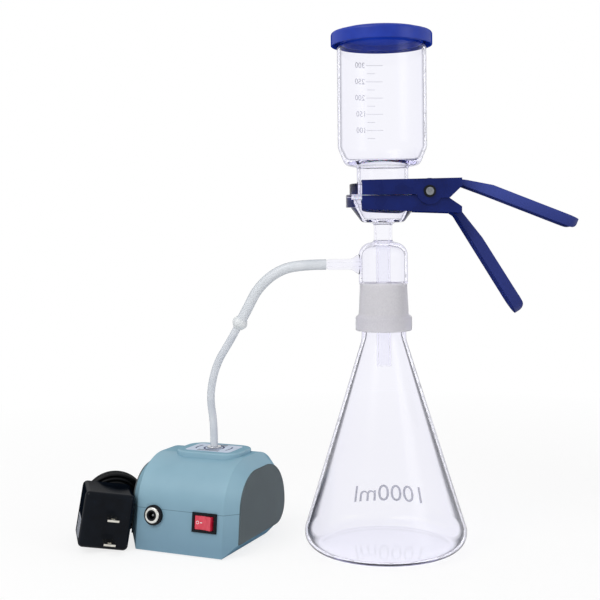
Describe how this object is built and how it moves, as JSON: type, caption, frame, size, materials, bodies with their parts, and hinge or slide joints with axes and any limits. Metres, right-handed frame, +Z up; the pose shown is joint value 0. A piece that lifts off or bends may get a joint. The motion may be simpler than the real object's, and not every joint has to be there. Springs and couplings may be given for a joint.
{
  "type": "vacuum filtration unit",
  "caption": "Glass flask with filter base, graduated funnel and lid held by a spring clamp, joined by a hose to a small vacuum pump with a plug-in power adapter.",
  "frame": {"origin": "on the floor, at the centre of the flask foot, on the axis of the glass stack", "axes": "+Z up along the glass stack, +X towards the clamp handles, -X towards the pump, +Y away from the front of the pump"},
  "size_m": [0.4283, 0.1796, 0.4279],
  "materials": {
    "borosilicate_glass": "clear, polished",
    "frit_glass": "white sintered",
    "lid_plastic": "soft blue",
    "blue_anodised": "blue anodised, satin",
    "rivet_steel": "turned",
    "black_washer": "black",
    "hose_upper_silicone": "translucent white",
    "hose_lower_silicone": "translucent white",
    "connector_plastic": "natural",
    "case_plastic": "blue grey",
    "panel_plastic": "dark grey",
    "label_print": "printed white",
    "barb_brass": "nickel plated",
    "foot_rubber": "black",
    "jack_metal": "bright",
    "switch_red": "red",
    "terminal_brass": "plain",
    "motor_steel": "zinc plated",
    "rotor_steel": "wound armature",
    "pump_nylon": "black moulded",
    "wire_red": "red insulation",
    "wire_black": "black insulation",
    "adapter_plastic": "black gloss",
    "adapter_print": "grey print",
    "blade_metal": "nickel plated",
    "board_laminate": "laminate",
    "transformer_core": "taped core",
    "capacitor_sleeve": "sleeved can",
    "lead_jacket": "black"
  },
  "bodies": {
    "base": {"adapter_blades": "blade_metal", "adapter_board": "board_laminate", "adapter_capacitor": "capacitor_sleeve", "adapter_front_shell": "adapter_plastic", "adapter_label": "adapter_print", "adapter_rear_shell": "adapter_plastic", "adapter_transformer": "transformer_core", "barb_nut": "barb_brass", "bottom_shell": "case_plastic", "case_screws": "rivet_steel", "clamp_pin": "rivet_steel", "clamp_washers": "black_washer", "coil_tie": "lead_jacket", "crankcase": "pump_nylon", "diaphragm": "foot_rubber", "feet": "foot_rubber", "filter_base": "borosilicate_glass", "flask": "borosilicate_glass", "frit_disc": "frit_glass", "funnel": "borosilicate_glass", "head_cover": "pump_nylon", "head_screws": "rivet_steel", "hose_barb": "barb_brass", "hose_connector": "connector_plastic", "hose_lower": "hose_lower_silicone", "hose_upper": "hose_upper_silicone", "inner_tube": "hose_lower_silicone", "jack_body": "jack_metal", "jack_nut": "black_washer", "jack_pin": "rivet_steel", "lead_coil": "lead_jacket", "lead_end": "lead_jacket", "lead_start": "lead_jacket", "motor_can": "motor_steel", "motor_end_cap": "black_washer", "motor_magnets": "black_washer", "motor_mounts": "foot_rubber", "plug_barrel": "blade_metal", "plug_handle": "lead_jacket", "side_panel_left": "panel_plastic", "side_panel_right": "panel_plastic", "strain_relief": "lead_jacket", "switch_housing": "black_washer", "switch_terminals": "terminal_brass", "top_label": "label_print", "top_shell": "case_plastic", "valve_plate": "pump_nylon", "wire_jack_motor": "wire_black", "wire_jack_switch": "wire_red", "wire_switch_motor": "wire_red"},
    "lid": {"lid": "lid_plastic"},
    "clamp_upper": {"clamp_upper_lever": "blue_anodised", "clamp_spring": "rivet_steel"},
    "clamp_lower": {"clamp_lower_lever": "blue_anodised"},
    "rocker": {"switch_rocker": "switch_red"},
    "rotor": {"motor_rotor": "rotor_steel", "crank_eccentric": "rivet_steel"},
    "piston_rod": {"connecting_rod": "pump_nylon", "crank_bearing": "rivet_steel"}
  },
  "joints": [
    {"name": "lid_lift", "type": "slide", "parent": "base", "child": "lid", "axis": [0, 0, 1], "range_m": [0, 0.04]},
    {"name": "clamp_open", "type": "hinge", "parent": "base", "child": "clamp_upper", "pos_m": [0.035, 0, 0.2932], "axis": [0, 1, 0], "range_deg": [0, 8], "stiffness_Nm_per_rad": 2, "springref_deg": -8.59, "deforming": ["clamp_spring"]},
    {"name": "clamp_open_lower", "type": "hinge", "parent": "base", "child": "clamp_lower", "pos_m": [0.035, 0, 0.2932], "axis": [0, -1, 0], "range_deg": [0, 8]},
    {"name": "rocker_tip", "type": "hinge", "parent": "base", "child": "rocker", "pos_m": [-0.14702, -0.02422, 0.02743], "axis": [0.0463, 0.1057, 0.9933], "range_deg": [0, 20]},
    {"name": "motor_spin", "type": "hinge", "parent": "base", "child": "rotor", "pos_m": [-0.1442, 0.04054, 0.0248], "axis": [0.4011, 0.916, 0], "continuous": true},
    {"name": "rod_turn", "type": "hinge", "parent": "rotor", "child": "piston_rod", "pos_m": [-0.14944, 0.02858, 0.0266], "axis": [0.4011, 0.916, 0], "continuous": true}
  ],
  "couplings": [
    {"joint": "clamp_open_lower", "follows": "clamp_open", "ratio": 1},
    {"joint": "rod_turn", "follows": "motor_spin", "ratio": -1}
  ]
}
